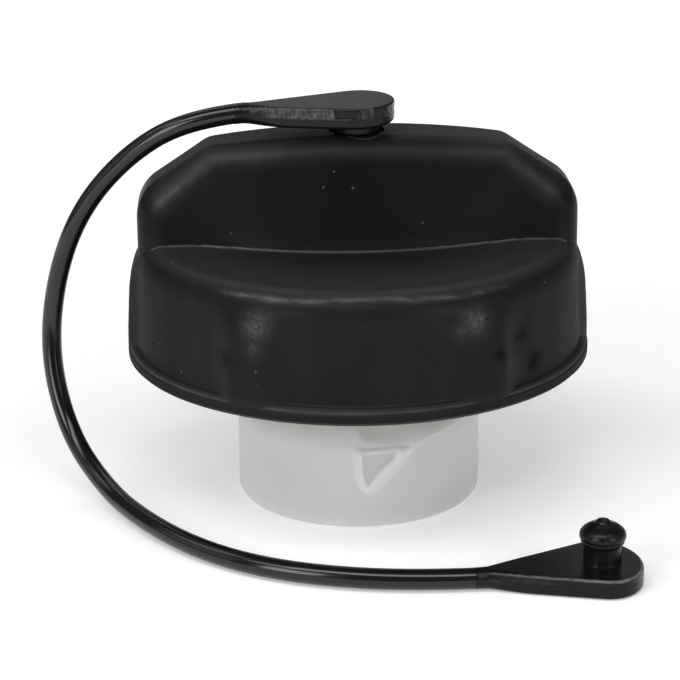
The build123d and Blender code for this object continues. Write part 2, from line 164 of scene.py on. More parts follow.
def make_plug():
    cols = 720
    rows = []                                           # (radius, height, kind)
    rows += [(19.4, 0.02, 0), (19.65, 0.0, 0), (20.2, 0.0, 0), (20.7, 0.0, 0)]
    rows += [(20.7 + 1.3 * math.sin(a), 1.3 - 1.3 * math.cos(a), 0) for a in [math.radians(v) for v in (15, 30, 45, 60, 75, 90)]]
    z = 1.9
    while z < 5.4:
        rows.append((22.0, z, 0))
        z += 0.6
    z = 5.6
    while z < 22.6:
        rows.append((22.0, z, 1))
        z += 0.22 if z < 18.2 else 0.45
    rows += [(22.0, v, 0) for v in (24.0, 28.0, 32.0, 36.0, 36.8)]
    rows += [(22.2, 37.0, 0), (26.0, 37.0, 0), (30.5, 37.0, 0), (30.8, 37.3, 0), (30.8, 41.0, 0), (30.8, 45.0, 0), (30.5, 45.3, 0), (29.1, 45.3, 0),
             (28.8, 45.0, 0), (28.8, 44.7, 0), (28.8, 44.7, 2), (28.8, 42.0, 2), (28.8, 39.4, 2), (24.0, 39.4, 0),
             (19.6, 39.4, 0), (19.4, 39.2, 0), (19.4, 30.0, 0), (19.4, 20.0, 0), (19.4, 9.5, 0), (19.3, 9.4, 0), (17.3, 9.4, 0), (17.2, 9.3, 0),
             (17.2, 8.3, 0), (17.3, 8.2, 0), (19.3, 6.7, 0), (19.4, 6.5, 0), (19.4, 3.0, 0)]
    verts, faces, lug_lights = [], [], []
    for r, zz, kind in rows:
        for i in range(cols):
            a = 360.0 * i / cols
            rr = r
            lug_light = 0.0
            if kind == 1:
                d = (a - 270.0 + 90.0) % 180.0 - 90.0   # from the nearer lug's datum
                if d < -60.0:
                    d += 180.0
                h, lug_light = lug_height(d, zz)
                rr = min(23.19, r + h)
            elif kind == 2:
                t = (a % 10.0) / 10.0
                rr = 27.6 + 1.4 * (smooth(t / 0.05) if t < 0.26 else max(0.0, 1.0 - (t - 0.26) / 0.74))
            rr += 0.012 * noise.noise(Vector((math.cos(math.radians(a)) * 3.1, math.sin(math.radians(a)) * 3.1, zz * 0.22))) if kind < 2 and 1 < zz < 36 and rr > 21 else 0.0
            verts.append((rr * math.cos(math.radians(a)) / 1000, rr * math.sin(math.radians(a)) / 1000, zz / 1000))
            lug_lights.append(0.5 + 0.5 * lug_light)
    n = len(rows)
    for j in range(n):
        for i in range(cols):
            k, i2 = (j + 1) % n, (i + 1) % cols
            faces.append((j * cols + i, j * cols + i2, k * cols + i2, k * cols + i))
    me = bpy.data.meshes.new("plug_body")
    me.from_pydata(verts, [], faces)
    me.update()
    me.attributes.new("lug_light", "FLOAT", "POINT").data.foreach_set("value", lug_lights)
    me.polygons.foreach_set("use_smooth", [True] * len(faces))
    me.set_sharp_from_angle(angle=math.radians(38))
    ob = bpy.data.objects.new("plug_body", me)
    scene.collection.objects.link(ob)
    return ob


plug = make_plug()

# ------------------------------------------------------------------ root of the bar
def bar_half(x, z):
    """Half thickness of the grip bar at x and height z, mm."""
    out = []
    for end, mid in ((7.78, 14.8), (6.95, 7.02)):
        sag = mid - end
        rad = (26.6 ** 2 + sag * sag) / (2 * sag)
        a = abs(x)
        if a < 22.5:
            out.append(mid - rad + math.sqrt(rad * rad - x * x))
        else:
            at = mid - rad + math.sqrt(rad * rad - 22.5 ** 2)
            out.append(end + (at - end) * (1 - smooth((a - 22.5) / 6.5)))
    t = (z - 44.0) / 24.0
    return out[0] + (out[1] - out[0]) * t


def deck_height(r):
    return 48.35 if r < 35.0 else 43.75 + math.sqrt(max(0.0, 4.6 ** 2 - (r - 35.0) ** 2))


def make_bead():
    """Small hollow rounding along the root of the bar, front and back."""
    verts, faces = [], []
    size, arc, steps = 0.42, 6, 160
    for side in (-1, 1):
        base = len(verts)
        for i in range(steps + 1):
            x = -36.6 + 73.2 * i / steps
            z = 48.35
            for _ in range(8):
                y = bar_half(x, z)
                z = deck_height(math.hypot(x, y))
            w = size * (1 + 0.18 * noise.noise(Vector((x * 0.4, side * 3.0, 0))))
            fall = (deck_height(math.hypot(x, y + w)) - z) / w
            ring = [(y - 0.15, z - 0.15 + min(0.0, fall))]
            for j in range(arc + 1):
                a = math.pi / 2 * j / arc
                ring.append((y - 0.02 + w - w * math.sin(a) * 1.0, z + 0.0 + w - w * math.cos(a) + fall * (w - w * math.sin(a))))
            for yy, zz in ring:
                verts.append((x / 1000, side * yy / 1000, zz / 1000))
        m = arc + 2
        for i in range(steps):
            for j in range(m):
                j2 = (j + 1) % m
                faces.append((base + i * m + j, base + (i + 1) * m + j, base + (i + 1) * m + j2, base + i * m + j2))
        faces.append(tuple(base + j for j in range(m)))
        faces.append(tuple(base + steps * m + j for j in reversed(range(m))))
    me = bpy.data.meshes.new("bar_root")
    me.from_pydata(verts, [], faces)
    bm = bmesh.new()
    bm.from_mesh(me)
    bmesh.ops.recalc_face_normals(bm, faces=bm.faces)
    bm.to_mesh(me)
    bm.free()
    me.polygons.foreach_set("use_smooth", [True] * len(me.polygons))
    me.set_sharp_from_angle(angle=math.radians(40))
    ob = bpy.data.objects.new("bar_root", me)
    scene.collection.objects.link(ob)
    return ob


bead = make_bead()


# ------------------------------------------------------------------ tether ends
def spin(verts, faces, profile, cols, place):
    """Closed turned form round the local Z axis."""
    base = len(verts)
    for r, z in profile:
        for i in range(cols):
            a = 2 * math.pi * i / cols
            verts.append(place @ Vector((r * math.cos(a), r * math.sin(a), z)))
    for j in range(len(profile) - 1):
        for i in range(cols):
            i2 = (i + 1) % cols
            faces.append((base + j * cols + i, base + j * cols + i2, base + (j + 1) * cols + i2, base + (j + 1) * cols + i))
    faces.append(tuple(base + i for i in reversed(range(cols))))
    top = base + (len(profile) - 1) * cols
    faces.append(tuple(top + i for i in range(cols)))


def half_width(u, tail, hw_tail, head, hw_head):
    """Straight flank tangent to the half-oval head, and the u of the touch point."""
    lo, hi = 0.0, 1.2
    for _ in range(50):
        t = (lo + hi) / 2
        flank = (hw_head * math.cos(t) - hw_tail) / (-head * math.sin(t) - tail)
        if hw_head * math.sin(t) / (head * math.cos(t)) < flank:
            lo = t
        else:
            hi = t
    touch = -head * math.sin(t)
    if u < touch:
        return hw_tail + flank * (u - tail)
    return hw_head * math.sqrt(max(0.0, 1 - (u / head) ** 2))


def side_detail(u, v, t, style):
    """Trimmed and torn places on a tether end's front side, with painted highlight and sheen: (outward mm, wear and
    painted highlight 0-1). t is the height, 0 bottom to 1 top.
    """
    if v > 0:
        return 0.0, 0.0
    if style != "cap":
        # a painted highlight along the upper edge, stronger towards the nose
        drawn = noise.noise(Vector((u * 0.9, 7.0, t * 14.0)))
        edge = math.exp(-((t - 0.95) / 0.055) ** 2) * (0.55 + 0.35 * smooth((u + 12.0) / 12.0) + 0.5 * drawn)
        low = smooth((-7.0 - u) / 5.0) * max(0.0, noise.noise(Vector((u * 0.5, 7.0, t * 22.0)))) * smooth((t - 0.3) / 0.3) * 0.30
        return 0.0, max(0.0, edge, low)
    # cap end: the shaved upper band is paler trimmed plastic with painted sheen; the parting line is paler flash
    streak = noise.noise(Vector((u * 2.3, 0.0, t * 1.1)))
    fine = noise.noise(Vector((u * 6.0, 4.0, t * 3.0)))
    if u < -4.0:
        if u < -15.9:
            low = 0.52 + 0.30 * smooth((-15.9 - u) / 1.6) - 0.16 * smooth((-18.6 - u) / 1.6)
        else:
            low = 0.50 + 0.02 * streak
        start = smooth((u + 20.2) / 0.8)
        k = smooth((t - low) / 0.05) * smooth((-4.0 - u) / 0.5 + 0.2) * start
        lip = math.exp(-((t - low) / 0.03) ** 2) * start
        return k * (-0.55 * (t - low) + 0.03 * streak + 0.015 * fine) + 0.07 * lip, k * max(0.0, 0.42 + 0.75 * streak + 0.55 * fine) + 0.30 * lip
    if u < 0.3:
        notch = smooth((t - 0.54) / 0.05) * smooth((0.93 - t) / 0.05) * smooth((0.3 - u) / 0.5)
        lip = math.exp(-((t - 0.50 - 0.02 * streak) / 0.03) ** 2)
        return -0.34 * notch + 0.06 * lip, 0.22 * lip + 0.15 * smooth((t - 0.93) / 0.03)
    if u < 3.0:
        k = smooth((u - 0.3) / 0.3) * smooth((3.0 - u) / 0.5) * smooth((t - 0.45) / 0.1)
        return 0.10 * k * (1 + 1.5 * streak), k * max(0.0, 0.22 + 0.9 * streak + 0.5 * fine)
    return 0.05 * streak * smooth((t - 0.4) / 0.1), max(0.0, 0.10 * streak)


def make_end(name, place, tail, hw_tail, head, hw_head, z_low, z_high, round_top, round_low, root_z, root_u, part, flash, tilt, style, turned):
    """Drop-shaped end that grows out of the round strap, with its parting line and flash."""
    us = []
    n_f, n_h = 90, 110
    for i in range(n_f):
        us.append(root_u + (0.0 - root_u) * i / n_f)
    outline = []                                        # (u, v, axis foot u, side)
    def width(u):
        return max(STRAP_D * 500 + 0.02, half_width(u, tail, hw_tail, head, hw_head))
    for u in us:
        outline.append((u, width(u), u, 0.0))
    for i in range(n_h + 1):
        a = math.pi / 2 * (1 - 2 * i / n_h)             # from +v round the nose to -v
        outline.append((head * math.cos(a), hw_head * math.sin(a), 0.0, 1.0))
    for u in reversed(us):
        outline.append((u, -width(u), u, 0.0))
    verts, faces, wear_and_highlight = [], [], []
    prof_n = 44
    for idx, (u, v, foot, is_head) in enumerate(outline):
        k = smooth((u - root_u) / (tail + 7.0 - root_u))
        zl, zh = z_low(u), z_high(u)
        rs = STRAP_D * 500 + 0.02
        zl = (1 - k) * (root_z(u) - rs) + k * zl
        zh = (1 - k) * (root_z(u) + rs) + k * zh
        reach = math.hypot(u - foot, v)
        half = (zh - zl) / 2
        rt = min(half, reach, (1 - k) * rs + k * round_top)
        rl = min(half, reach, (1 - k) * rs + k * round_low)
        pts = []                                        # (distance from the foot, z)
        for j in range(5):
            pts.append(((reach - rl) * j / 5.0, zl))
        for j in range(10):
            a = math.pi / 2 * j / 9
            pts.append((reach - rl + rl * math.sin(a), zl + rl - rl * math.cos(a)))
        z0, z1 = zl + rl, zh - rt
        for j in range(1, 14):
            pts.append((reach, z0 + (z1 - z0) * j / 14.0))
        for j in range(10):
            a = math.pi / 2 * j / 9
            pts.append((reach - rt + rt * math.cos(a), zh - rt + rt * math.sin(a)))
        for j in range(6):
            pts.append(((reach - rt) * (5 - j) / 6.0 if j < 5 else 0.0, zh))
        assert len(pts) == prof_n, len(pts)
        dx, dy = (u - foot, v)
        ln = max(1e-9, math.hypot(dx, dy))
        dx, dy = dx / ln, dy / ln
        along = noise.noise(Vector((u * 0.35, v * 0.35, 3.7)))
        for d, z in pts:
            grow = 0.0
            if d > reach - 0.25 and reach > 0.5 and z0 < z < z1:
                mid = zl + (zh - zl) * part + 0.10 * along
                line = math.exp(-((z - mid) / 0.10) ** 2)
                upper = smooth((z - mid) / 0.22)
                ragged = noise.noise(Vector((u * 1.7, v * 1.7, 9.1)))
                rough_up = noise.noise(Vector((u * 0.9, v * 0.9, z * 1.6)))
                grow = flash * (0.10 * line * (1 + 1.6 * max(0.0, ragged)) - 0.13 * upper * smooth(0.5 + 2.2 * rough_up))
                grow *= smooth(min(z - z0, z1 - z) / 0.25) * k
            wear_plus_highlight = 0.0
            if reach > 0.5 and d > reach - 0.9 * round_top and zl + 0.3 < z:
                out, wear_plus_highlight = side_detail(u, v, (z - zl) / (zh - zl), style)
                grow = 0.4 * grow + out
            uu = foot + dx * (d + grow)
            verts.append(place @ Vector((uu, dy * (d + grow), z + tilt * uu)))
            wear_and_highlight.append(min(1.0, max(0.0, wear_plus_highlight * (0.30 if style == "cap" else 0.62))))
    n = len(outline)
    for i in range(n - 1):
        for j in range(prof_n - 1):
            faces.append((i * prof_n + j, (i + 1) * prof_n + j, (i + 1) * prof_n + j + 1, i * prof_n + j + 1))
    # close the root, which lies against the strap's end
    a, b = 0, n - 1
    ring = [a * prof_n + j for j in range(prof_n)] + [b * prof_n + j for j in reversed(range(1, prof_n - 1))]
    faces.append(tuple(ring))
    for prof, cols, off in turned:
        spin(verts, faces, prof, cols, place @ Matrix.Translation((off, 0.0, 0.0)))
    me = bpy.data.meshes.new(name)
    me.from_pydata([tuple(c / 1000 for c in q) for q in verts], [], faces)
    wear_and_highlight += [0.0] * (len(verts) - len(wear_and_highlight))
    me.attributes.new("wear_and_highlight", "FLOAT", "POINT").data.foreach_set("value", wear_and_highlight)
    bm = bmesh.new()
    bm.from_mesh(me)
    bmesh.ops.remove_doubles(bm, verts=bm.verts, dist=1e-7)
    bmesh.ops.dissolve_degenerate(bm, edges=bm.edges, dist=1e-8)
    bmesh.ops.recalc_face_normals(bm, faces=bm.faces)
    bm.to_mesh(me)
    bm.free()
    me.polygons.foreach_set("use_smooth", [True] * len(me.polygons))
    me.set_sharp_from_angle(angle=math.radians(50))
    ob = bpy.data.objects.new(name, me)
    scene.collection.objects.link(ob)
    return ob


CAP_Z = 68.68
CAP_TILT = math.sin(math.radians(1.6))
cap_stud = [(0.001, 60.9), (1.2, 60.9), (3.8, 63.0), (3.8, 63.7), (3.5, 64.2), (3.2, 64.3), (3.2, 68.9), (0.001, 68.9)]
cap_collar = [(0.001, 66.60), (4.00, 66.60), (4.12, 66.66), (4.17, 66.80), (4.17, 67.2), (4.15, 67.6), (4.2, 68.2), (4.3, 69.2), (0.001, 69.2)]
cap_end = make_end(
    "tether_cap_paddle", Matrix.Identity(4), -18.9, 1.82, 6.7, 7.6,
    lambda u: CAP_Z, lambda u: CAP_Z + 3.75, 0.42, 0.7,
    lambda u: 70.4 - CAP_TILT * u + 0.13 * min(0.0, u + 20.0), -21.4, 0.42, 1.0, CAP_TILT, "cap",
    [(cap_stud, 64, 0.0), (cap_collar, 96, 0.0)])

DOOR = (38.7, -45.6)
TIE = (ROUTE[-1][0] * 1000, ROUTE[-1][1] * 1000)
door_ang = math.atan2(DOOR[1] - TIE[1], DOOR[0] - TIE[0])
door_len = math.hypot(DOOR[0] - TIE[0], DOOR[1] - TIE[1])
door_place = Matrix.Translation((DOOR[0], DOOR[1], 0.0)) @ Matrix.Rotation(door_ang, 4, "Z")
door_stud = [(0.001, 2.6), (3.3, 2.6), (3.3, 3.3), (3.22, 3.45), (3.2, 3.7), (3.2, 5.2), (3.2, 6.2), (3.24, 6.4), (3.34, 6.55), (3.52, 6.68),
             (3.66, 6.84), (3.70, 7.0), (3.69, 7.2), (3.64, 7.34), (3.63, 7.42), (3.70, 7.50), (3.86, 7.56), (3.93, 7.68), (3.96, 7.9),
             (3.95, 8.25), (3.84, 8.65), (3.52, 9.10), (3.02, 9.50), (2.5, 9.82), (2.05, 10.02), (1.7, 10.14), (1.46, 10.25), (1.30, 10.40),
             (1.18, 10.58), (1.02, 10.74), (0.76, 10.86), (0.4, 10.93), (0.001, 10.95)]
door_end = make_end(
    "tether_door_paddle", door_place, -door_len + 1.6, 1.8, 6.75, 8.75,
    lambda u: 0.0, lambda u: 3.3, 0.62, 0.45, lambda u: 1.85, -door_len - 0.7, 0.50, 0.9, 0.0, "door",
    [(door_stud, 128, -0.12)])


# ------------------------------------------------------------------ node helpers
class Mat:
    """Small helper for building a node material."""

    def __init__(self, name, base, rough, spec=0.5, metal=0.0, ior=1.5):
        self.m = bpy.data.materials.new(name)
        self.m.use_nodes = True
        self.t = self.m.node_tree
        self.b = self.t.nodes["Principled BSDF"]
        self.b.inputs["Base Color"].default_value = (*base, 1)
        self.b.inputs["Roughness"].default_value = rough
        self.b.inputs["Metallic"].default_value = metal
        self.b.inputs["Specular IOR Level"].default_value = spec
        self.b.inputs["IOR"].default_value = ior
        self.m.diffuse_color = (*base, 1)
        self.geo = self.t.nodes.new("ShaderNodeTexCoord")
        self.pos = self.geo.outputs["Object"]
        self.heights = []

    def node(self, kind, **kw):
        n = self.t.nodes.new(kind)
        for k, v in kw.items():
            setattr(n, k, v)
        return n

    def link(self, a, b):
        self.t.links.new(a, b)

    def mapped(self, scale=(1, 1, 1), rot=(0, 0, 0), loc=(0, 0, 0)):
        n = self.node("ShaderNodeMapping")
        n.inputs["Scale"].default_value = scale
        n.inputs["Rotation"].default_value = rot
        n.inputs["Location"].default_value = loc
        self.link(self.pos, n.inputs["Vector"])
        return n.outputs["Vector"]

    def noise(self, scale, detail=3.0, rough=0.5, vec=None, dist=0.0):
        n = self.node("ShaderNodeTexNoise")
        n.inputs["Scale"].default_value = scale
        n.inputs["Detail"].default_value = detail
        n.inputs["Roughness"].default_value = rough
        n.inputs["Distortion"].default_value = dist
        self.link(vec or self.pos, n.inputs["Vector"])
        return n.outputs["Fac"]

    def voronoi(self, scale, feature="F1", vec=None, rand=1.0):
        n = self.node("ShaderNodeTexVoronoi", feature=feature)
        n.inputs["Scale"].default_value = scale
        n.inputs["Randomness"].default_value = rand
        self.link(vec or self.pos, n.inputs["Vector"])
        return n.outputs["Distance"]

    def ramp(self, fac, stops, interp="LINEAR"):
        n = self.node("ShaderNodeValToRGB")
        n.color_ramp.interpolation = interp
        els = n.color_ramp.elements
        while len(els) < len(stops):
            els.new(0.5)
        for e, (p, c) in zip(els, stops):
            e.position = p
            e.color = (c, c, c, 1) if isinstance(c, (int, float)) else (*c, 1)
        self.link(fac, n.inputs["Fac"])
        return n.outputs["Color"]

    def math(self, op, a, b=0.0, c=0.0, clamp=False):
        n = self.node("ShaderNodeMath", operation=op, use_clamp=clamp)
        for i, v in enumerate((a, b, c)):
            if isinstance(v, (int, float)):
                n.inputs[i].default_value = v
            else:
                self.link(v, n.inputs[i])
        return n.outputs[0]

    def mix(self, fac, a, b):
        n = self.node("ShaderNodeMix", data_type="RGBA")
        for i, v in ((0, fac), (6, a), (7, b)):
            if isinstance(v, (int, float)) and i == 0:
                n.inputs[0].default_value = v
            elif isinstance(v, tuple):
                n.inputs[i].default_value = (*v, 1)
            else:
                self.link(v, n.inputs[i])
        return n.outputs[2]

    def color(self, out):
        self.link(out, self.b.inputs["Base Color"])

    def rough(self, out):
        self.link(out, self.b.inputs["Roughness"])

    def bump(self, height, strength=0.3, distance=0.0001):
        n = self.node("ShaderNodeBump")
        n.inputs["Strength"].default_value = strength
        n.inputs["Distance"].default_value = distance
        self.link(height, n.inputs["Height"])
        if self.heights:
            self.link(self.heights[-1], n.inputs["Normal"])
        self.heights.append(n.outputs["Normal"])
        self.link(n.outputs["Normal"], self.b.inputs["Normal"])


def assign(ob, mat):
    if not ob.material_slots:
        ob.data.materials.append(mat.m)
        return
    for s in ob.material_slots:
        s.material = mat.m


# ------------------------------------------------------------------ materials
# painted highlights on the ridge tops of the grip shell, partly real rubbed wear: (x, y, z) in metres, radius, amount
RUB_HIGHLIGHTS = [
    ((-0.0187, -0.0359, 0.0427), 0.0048, 0.62), ((0.0178, -0.0361, 0.0428), 0.0048, 0.55), ((0.0190, -0.0355, 0.0433), 0.0016, 0.8),
    ((-0.0178, -0.0364, 0.0424), 0.0018, 0.7), ((-0.0197, -0.0355, 0.0427), 0.0014, 0.6), ((0.0155, -0.0371, 0.0415), 0.0036, 0.25),
    ((-0.0190, -0.0360, 0.0390), 0.0034, 0.30),
]
# painted highlights along the rounded edges of the bar, partly real scuffing: start, end, radius, amount
EDGE_HIGHLIGHTS = [
    ((-0.0347, -0.0071, 0.0563), (-0.0262, -0.0062, 0.0640), 0.0036, 1.0),
    ((0.0337, -0.0071, 0.0570), (0.0262, -0.0062, 0.0640), 0.0036, 0.8),
    ((-0.0347, -0.0071, 0.0563), (-0.0318, -0.0068, 0.0588), 0.0028, 1.6),
    ((-0.0250, -0.0064, 0.0640), (-0.0140, -0.0066, 0.0643), 0.0032, 1.15),
    ((-0.0258, -0.0066, 0.0640), (0.0258, -0.0066, 0.0640), 0.0030, 0.80),
]
# small dark nicks
NICKS = [(0.0197, -0.0352, 0.0430), (0.0217, -0.0346, 0.0409), (0.0226, -0.0335, 0.0427), (-0.0195, -0.0350, 0.0440)]

# single specks of pale dust, and places made darker and rougher, with their radius
SPECKS = [
    (-0.0225, -0.0090, 0.0510), (-0.0012, -0.0099, 0.0590), (-0.0063, -0.0097, 0.0592), (-0.0044, -0.0090, 0.0618), (-0.0327, -0.0163, 0.0481),
    (0.0109, -0.0112, 0.0529), (0.0307, -0.0243, 0.0457), (0.0285, -0.0163, 0.0484), (-0.0353, -0.0185, 0.0342), (-0.0315, -0.0246, 0.0311),
    (-0.0188, -0.0367, 0.0351), (-0.0195, -0.0033, 0.0662),
]
DULL = [((-0.0238, -0.0330, 0.0362), 0.0036), ((0.0222, -0.0345, 0.0365), 0.0032), ((0.0262, -0.0305, 0.0378), 0.0050), ((0.0290, -0.0280, 0.0330), 0.0045)]


def black_shell():
    k = Mat("black_shell", (0.0095, 0.0095, 0.0097), 0.36, spec=0.085)
    fine = k.noise(3600, 2.0, 0.6)
    mid = k.noise(420, 3.0, 0.55)
    big = k.noise(46, 3.0, 0.5)
    xyz = k.node("ShaderNodeSeparateXYZ")
    k.link(k.pos, xyz.inputs[0])
    x, y, z = xyz.outputs

    def distance(at):
        d = k.node("ShaderNodeVectorMath", operation="DISTANCE")
        k.link(k.pos, d.inputs[0])
        d.inputs[1].default_value = at
        return d.outputs["Value"]

    def vec(op, a, b):
        n = k.node("ShaderNodeVectorMath", operation=op)
        for i, v in enumerate((a, b)):
            if isinstance(v, tuple):
                n.inputs[i].default_value = v
            else:
                k.link(v, n.inputs[i])
        return n

    def bell(dist, size, amount):
        """Smooth fall from amount to nothing at size."""
        t = k.math("MULTIPLY_ADD", dist, -1.0 / size, 1.0, clamp=True)
        t = k.math("MULTIPLY", t, t)
        return k.math("MULTIPLY", t, amount)

    rub_highlight = 0.0
    for at, size, amount in RUB_HIGHLIGHTS:
        rub_highlight = k.math("MAXIMUM", rub_highlight, bell(distance(at), size, amount))
    # a painted highlight line along the crest of the edge round the front of the dome, broken up like scuffing
    rad = k.math("SQRT", k.math("ADD", k.math("MULTIPLY", x, x), k.math("MULTIPLY", y, y)))
    side = k.math("MULTIPLY", k.math("ABSOLUTE", x), 77.0, clamp=True)
    dr = k.math("SUBTRACT", rad, k.math("MULTIPLY_ADD", side, 0.0007, 0.03745))
    dz = k.math("SUBTRACT", z, k.math("MULTIPLY_ADD", side, -0.00055, 0.04762))
    wander = k.math("MULTIPLY_ADD", k.noise(180, 2.0, 0.5), 0.0009, -0.00045)
    dz = k.math("ADD", dz, wander)
    off = k.math("SQRT", k.math("ADD", k.math("MULTIPLY", dr, dr), k.math("MULTIPLY", dz, dz)))
    front = k.math("MULTIPLY_ADD", y, -260.0, -7.4, clamp=True)
    crest = k.math("MULTIPLY", bell(off, 0.00125, 0.85), front)
    left = k.math("MULTIPLY_ADD", x, -14.0, 0.72, clamp=True)
    crest = k.math("MULTIPLY", crest, left)
    grain = k.ramp(k.noise(1500, 3.0, 0.7), [(0.36, 0.25), (0.62, 1.0)])
    lines = k.ramp(k.noise(900, 3.0, 0.7, k.mapped((0.30, 0.6, 1.6), (0.0, 0.0, 0.3))), [(0.40, 0.3), (0.62, 1.0)])
    # the lip: a painted highlight line and a softer band of painted light on its sloped shoulder, with a painted shade
    # line in the crease where it meets the skirt

    def ring_gap(r0, z0):
        u, v = k.math("SUBTRACT", rad, r0), k.math("SUBTRACT", z, z0)
        return k.math("SQRT", k.math("ADD", k.math("MULTIPLY", u, u), k.math("MULTIPLY", v, v)))

    lip_line = k.math("MULTIPLY", bell(ring_gap(0.0411, 0.02885), 0.00048, 1.0), k.ramp(k.noise(140, 3.0, 0.6), [(0.32, 0.35), (0.62, 1.0)]))
    lip_shoulder_light = bell(ring_gap(0.0408, 0.02915), 0.0017, 1.0)
    lip_crease_shade = bell(ring_gap(0.0404, 0.0295), 0.00042, 1.0)
    # a painted highlight arc on top of the bar, before the tether's collar
    mark = k.math("ABSOLUTE", k.math("SUBTRACT", distance((0.0009, -0.0022, 0.0668)), 0.0036))
    mark = k.math("MULTIPLY", bell(mark, 0.00042, 0.9), k.math("MULTIPLY_ADD", y, -900.0, -2.6, clamp=True))
    mark = k.math("MULTIPLY", mark, k.math("GREATER_THAN", z, 0.066))
    # painted highlights, partly real wear: ridge-top spots, the crest line, the arc before the collar and the lip line
    wear_and_highlight = k.math("ADD", k.math("MULTIPLY", rub_highlight, grain), k.math("MULTIPLY", crest, lines), clamp=True)
    wear_and_highlight = k.math("ADD", wear_and_highlight, k.math("MULTIPLY", mark, 0.6), clamp=True)
    wear_and_highlight = k.math("ADD", wear_and_highlight, k.math("MULTIPLY", lip_line, 0.55), clamp=True)
    # painted light where the moulding faces up, mottled like a little dust
    nz = k.node("ShaderNodeSeparateXYZ")
    k.link(k.geo.outputs["Normal"], nz.inputs[0])
    dust_and_top_light = k.math("MULTIPLY_ADD", nz.outputs["Z"], 4.0, -2.7, clamp=True)
    dust_and_top_light = k.math("MULTIPLY", dust_and_top_light, k.math("MULTIPLY_ADD", mid, 0.5, 0.7, clamp=True))
    dust_and_top_light = k.math("MULTIPLY", dust_and_top_light, k.math("MULTIPLY_ADD", rad, 60.0, -0.9, clamp=True))
    flank = k.math("MULTIPLY", k.math("MULTIPLY_ADD", k.math("ABSOLUTE", x), 110.0, -2.5, clamp=True),
                   k.math("MULTIPLY_ADD", z, -400.0, 19.0, clamp=True))
    edge_highlight = 0.0
    for a, b, size, amount in EDGE_HIGHLIGHTS:
        ab = tuple(q - p for p, q in zip(a, b))
        ll = sum(c * c for c in ab)
        pa = vec("SUBTRACT", k.pos, a).outputs["Vector"]
        t = k.math("MULTIPLY", vec("DOT_PRODUCT", pa, ab).outputs["Value"], 1.0 / ll, clamp=True)
        sc = k.node("ShaderNodeVectorMath", operation="SCALE")
        sc.inputs[0].default_value = ab
        k.link(t, sc.inputs["Scale"])
        gap = vec("SUBTRACT", pa, sc.outputs["Vector"]).outputs["Vector"]
        length = k.node("ShaderNodeVectorMath", operation="LENGTH")
        k.link(gap, length.inputs[0])
        edge_highlight = k.math("MAXIMUM", edge_highlight, bell(length.outputs["Value"], size, amount))
    edge_highlight = k.math("MULTIPLY", edge_highlight, k.math("MULTIPLY_ADD", k.noise(260, 3.0, 0.6), 1.1, 0.45))
    k.bump(k.noise(60, 2.0, 0.5), 0.25, 0.00012)
    k.bump(fine, 0.34, 0.00004)
    k.bump(wear_and_highlight, 0.5, 0.00006)
    # slow change of gloss and of black over the moulding
    r = k.math("MULTIPLY_ADD", big, 0.12, 0.29)
    r = k.math("MULTIPLY_ADD", mid, 0.08, r)
    # sparse pale specks of dust
    sp = k.ramp(k.voronoi(170), [(0.0, 1.0), (0.022, 1.0), (0.04, 0.0)])
    gate = k.ramp(k.noise(95, 2.0), [(0.56, 0.0), (0.62, 1.0)])
    speck = k.math("MULTIPLY", sp, gate)
    for at in SPECKS:
        speck = k.math("MAXIMUM", speck, k.math("MULTIPLY_ADD", distance(at), -7200.0, 1.9, clamp=True))
    dull = 0.0
    for at, size in DULL:
        dull = k.math("MAXIMUM", dull, bell(distance(at), size, 1.5))
    dull = k.math("MULTIPLY", dull, k.ramp(k.noise(210, 3.0, 0.6), [(0.30, 0.2), (0.60, 1.0)]), clamp=True)
    # fine drawn scuffs
    sc = k.noise(300, 4.0, 0.7, k.mapped((0.18, 1.0, 3.2), (0.2, 0.1, 0.35)))
    sc = k.ramp(sc, [(0.62, 0.0), (0.74, 1.0)])
    patch = k.ramp(k.noise(38, 2.0), [(0.46, 0.0), (0.62, 1.0)])
    scuff = k.math("MULTIPLY", sc, patch)
    nick = 0.0
    for at in NICKS:
        nick = k.math("MAXIMUM", nick, bell(distance(at), 0.0009, 1.0))
    nick = k.math("MULTIPLY", nick, k.ramp(k.noise(1300, 2.0, 0.6), [(0.40, 0.0), (0.55, 1.0)]))
    # handled places are a little blacker
    smudge = k.ramp(k.noise(75, 4.0, 0.62, k.mapped((1.0, 1.0, 0.55))), [(0.30, 0.0), (0.62, 1.0)])
    col = k.mix(smudge, (0.0060, 0.0060, 0.0062), (0.0106, 0.0106, 0.0108))
    # painted shade on the grip bar's upright faces
    bar_face_shade = k.math("MULTIPLY", k.math("MULTIPLY_ADD", z, 500.0, -24.6, clamp=True), k.math("MULTIPLY_ADD", nz.outputs["Z"], -3.0, 2.0, clamp=True))
    col = k.mix(k.math("MULTIPLY", bar_face_shade, 0.6), col, (0.0030, 0.0030, 0.0031))
    # painted light on up-facing faces
    col = k.mix(dust_and_top_light, col, (0.0270, 0.0270, 0.0270))
    # painted light on the lip's shoulder
    col = k.mix(k.math("MULTIPLY", lip_shoulder_light, 0.5, clamp=True), col, (0.030, 0.030, 0.030))
    col = k.mix(k.math("MULTIPLY", scuff, 0.25), col, (0.024, 0.024, 0.025))
    col = k.mix(k.math("MULTIPLY", dull, 0.85), col, (0.0020, 0.0020, 0.0021))
    # painted highlights along the bar's rounded edges
    col = k.mix(k.math("MULTIPLY", edge_highlight, 0.30, clamp=True), col, (0.10, 0.10, 0.101))
    # painted highlights, partly real wear
    col = k.mix(k.math("MULTIPLY", wear_and_highlight, 0.75), col, (0.16, 0.16, 0.161))
    col = k.mix(k.math("MULTIPLY", speck, 0.34), col, (0.18, 0.18, 0.175))
